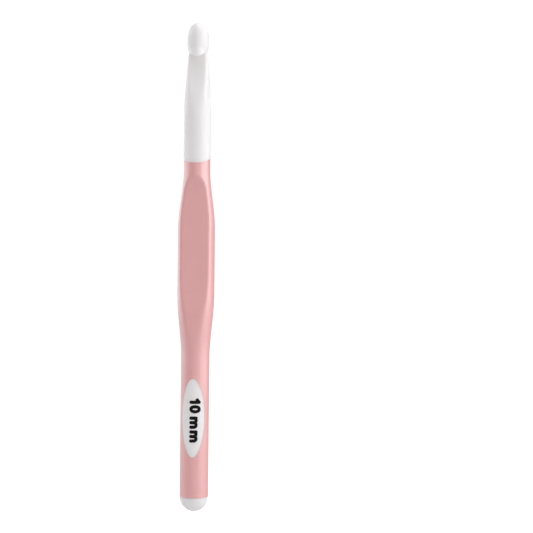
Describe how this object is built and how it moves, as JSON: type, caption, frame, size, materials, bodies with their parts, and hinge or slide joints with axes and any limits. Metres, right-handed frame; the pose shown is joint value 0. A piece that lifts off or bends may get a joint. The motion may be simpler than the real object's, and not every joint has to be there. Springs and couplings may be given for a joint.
{
  "type": "crochet hook",
  "caption": "Soft-grip crochet hook: a round plastic shank with a domed, lipped head, and a moulded grip with a thumb rest and oval windows.",
  "frame": {"origin": "centre of the thumb rest's flat face, on the grip's front, 94 mm above the butt's tip", "axes": "+Z along the hook's axis towards the head, -Y out of the thumb rest, on the side that the mouth of the hook opens to, +X to the right of someone who looks at the thumb rest"},
  "size_m": [0.0136, 0.0123, 0.18],
  "materials": {
    "white_plastic": "gloss",
    "pink_rubber": "satin",
    "print_ink": "satin"
  },
  "bodies": {
    "root": {"hook_core": "white_plastic", "grip_sleeve": "pink_rubber"}
  },
  "joints": []
}
